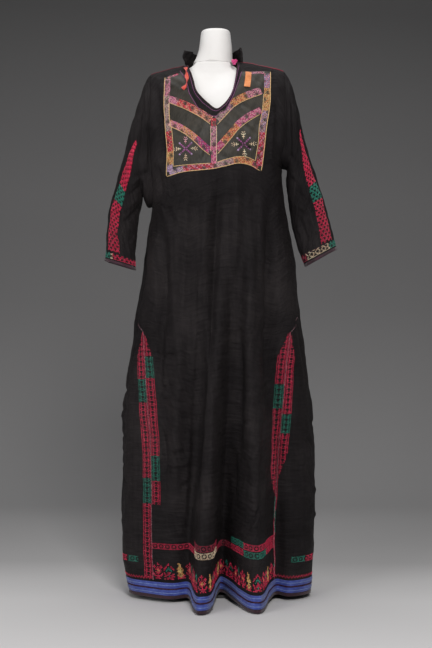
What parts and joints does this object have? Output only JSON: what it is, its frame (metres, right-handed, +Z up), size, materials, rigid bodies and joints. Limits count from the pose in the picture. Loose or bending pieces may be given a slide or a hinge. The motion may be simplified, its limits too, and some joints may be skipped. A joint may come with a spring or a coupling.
{
  "type": "palestinian thobe dress on a dress form",
  "caption": "Floor-length black cotton thobe with an embroidered chest panel, sleeves, side bands and hem, worn by a limbless white dress form on a pole and foot plate.",
  "frame": {"origin": "centre of the whole object's plan box, on the surface that the foot plate stands on", "axes": "+Z up, -Y is the dress's front, +X is the right-hand side seen from the front"},
  "size_m": [0.6174, 0.4629, 1.517],
  "materials": {
    "black_cotton": "plain-woven black cotton with a soft brownish sheen",
    "olive_satin": "dark olive satin with couched and cross-stitched bands",
    "blue_tape": "bright blue woven tape in two stripes",
    "maroon_edging": "dark maroon bound edge",
    "orange_tape": "flat orange woven tape",
    "pink_tie": "twisted red and pink cotton tie",
    "white_form": "smooth matt white paint",
    "black_steel": "satin black paint"
  },
  "bodies": {
    "root": {"front_panel": "black_cotton", "back_panel": "black_cotton", "side_gore_left": "black_cotton", "side_gore_right": "black_cotton", "sleeve_left": "black_cotton", "sleeve_right": "black_cotton", "collar": "black_cotton", "neck_binding": "black_cotton", "chest_panel": "olive_satin", "hem_tape": "blue_tape", "hem_edging": "maroon_edging", "cuff_edging_left": "maroon_edging", "cuff_edging_right": "maroon_edging", "tie_tab_left": "pink_tie", "tie_tab_right": "orange_tape", "tie_knot": "pink_tie", "form_torso": "white_form", "form_neck": "white_form", "form_pole": "black_steel", "form_plate": "black_steel"}
  },
  "joints": []
}
